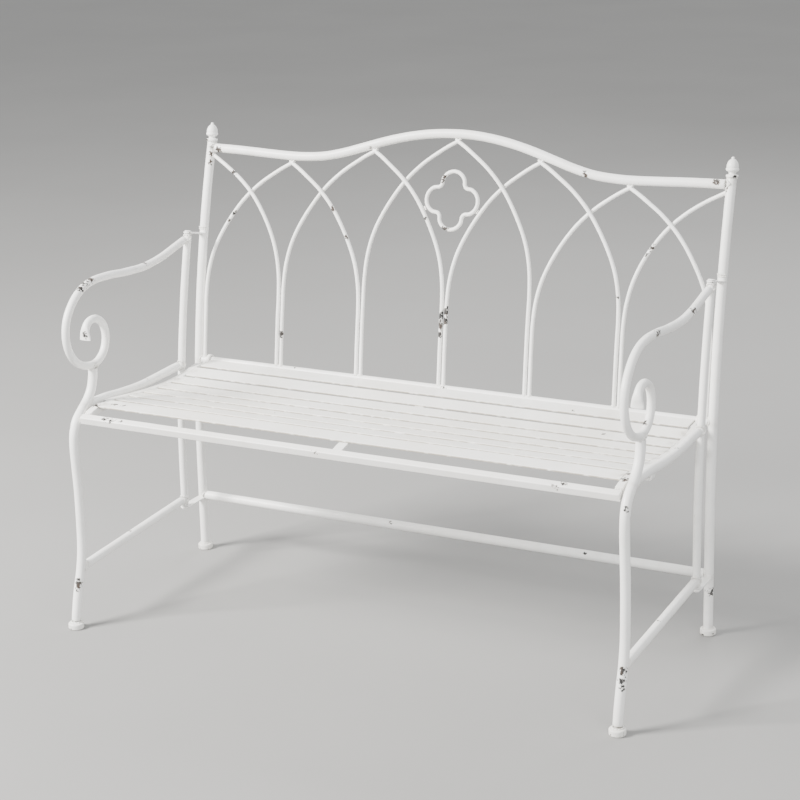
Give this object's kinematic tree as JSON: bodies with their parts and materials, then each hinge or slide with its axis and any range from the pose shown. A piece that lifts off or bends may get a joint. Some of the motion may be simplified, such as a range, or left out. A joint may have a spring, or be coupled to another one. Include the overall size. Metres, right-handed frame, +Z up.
{
  "type": "garden bench",
  "caption": "Metal garden bench with a pointed-arch back, scrolled arms, curved front legs and a slatted seat that lifts on the back rail; distressed white paint.",
  "frame": {"origin": "middle of the footprint on the ground: the bottom centre of the bounding box", "axes": "+Z up, the front of the bench faces -Y, +X to the right of someone who faces the bench"},
  "size_m": [1.208, 0.6358, 0.961],
  "materials": {
    "frame_paint": "satin, worn to dark metal in small chips",
    "seat_paint": "satin, slightly creamier, worn in small chips",
    "foot_paint": "satin, scuffed at the edge"
  },
  "bodies": {
    "frame": {"arch_rod_01": "frame_paint", "arch_rod_02": "frame_paint", "arch_rod_03": "frame_paint", "arch_rod_04": "frame_paint", "arch_rod_05": "frame_paint", "arch_rod_06": "frame_paint", "arch_rod_07": "frame_paint", "arch_rod_08": "frame_paint", "arch_rod_09": "frame_paint", "arch_rod_10": "frame_paint", "arch_rod_11": "frame_paint", "arch_rod_12": "frame_paint", "back_rail": "frame_paint", "back_stretcher": "frame_paint", "left_arm": "frame_paint", "left_back_foot": "foot_paint", "left_back_post": "frame_paint", "left_finial": "frame_paint", "left_front_foot": "foot_paint", "left_front_leg": "frame_paint", "left_lower_lug": "frame_paint", "left_lower_pin": "frame_paint", "left_rear_upright": "frame_paint", "left_seat_rail": "frame_paint", "left_seat_rest": "frame_paint", "left_side_stretcher": "frame_paint", "left_upper_lug": "frame_paint", "left_upper_pin": "frame_paint", "quatrefoil": "frame_paint", "rear_slat": "seat_paint", "right_arm": "frame_paint", "right_back_foot": "foot_paint", "right_back_post": "frame_paint", "right_finial": "frame_paint", "right_front_foot": "foot_paint", "right_front_leg": "frame_paint", "right_lower_lug": "frame_paint", "right_lower_pin": "frame_paint", "right_rear_upright": "frame_paint", "right_seat_rail": "frame_paint", "right_seat_rest": "frame_paint", "right_side_stretcher": "frame_paint", "right_upper_lug": "frame_paint", "right_upper_pin": "frame_paint", "top_rail": "frame_paint"},
    "seat": {"left_seat_bar": "seat_paint", "right_seat_bar": "seat_paint", "seat_centre_rib": "seat_paint", "seat_front_rail": "seat_paint", "seat_slat_1": "seat_paint", "seat_slat_2": "seat_paint", "seat_slat_3": "seat_paint", "seat_slat_4": "seat_paint", "seat_slat_5": "seat_paint", "seat_slat_6": "seat_paint", "seat_slat_7": "seat_paint"}
  },
  "joints": [
    {"name": "seat_lift", "type": "hinge", "parent": "frame", "child": "seat", "pos_m": [0, 0.20211, 0.437], "axis": [-1, 0, 0], "range_deg": [0, 80]}
  ]
}
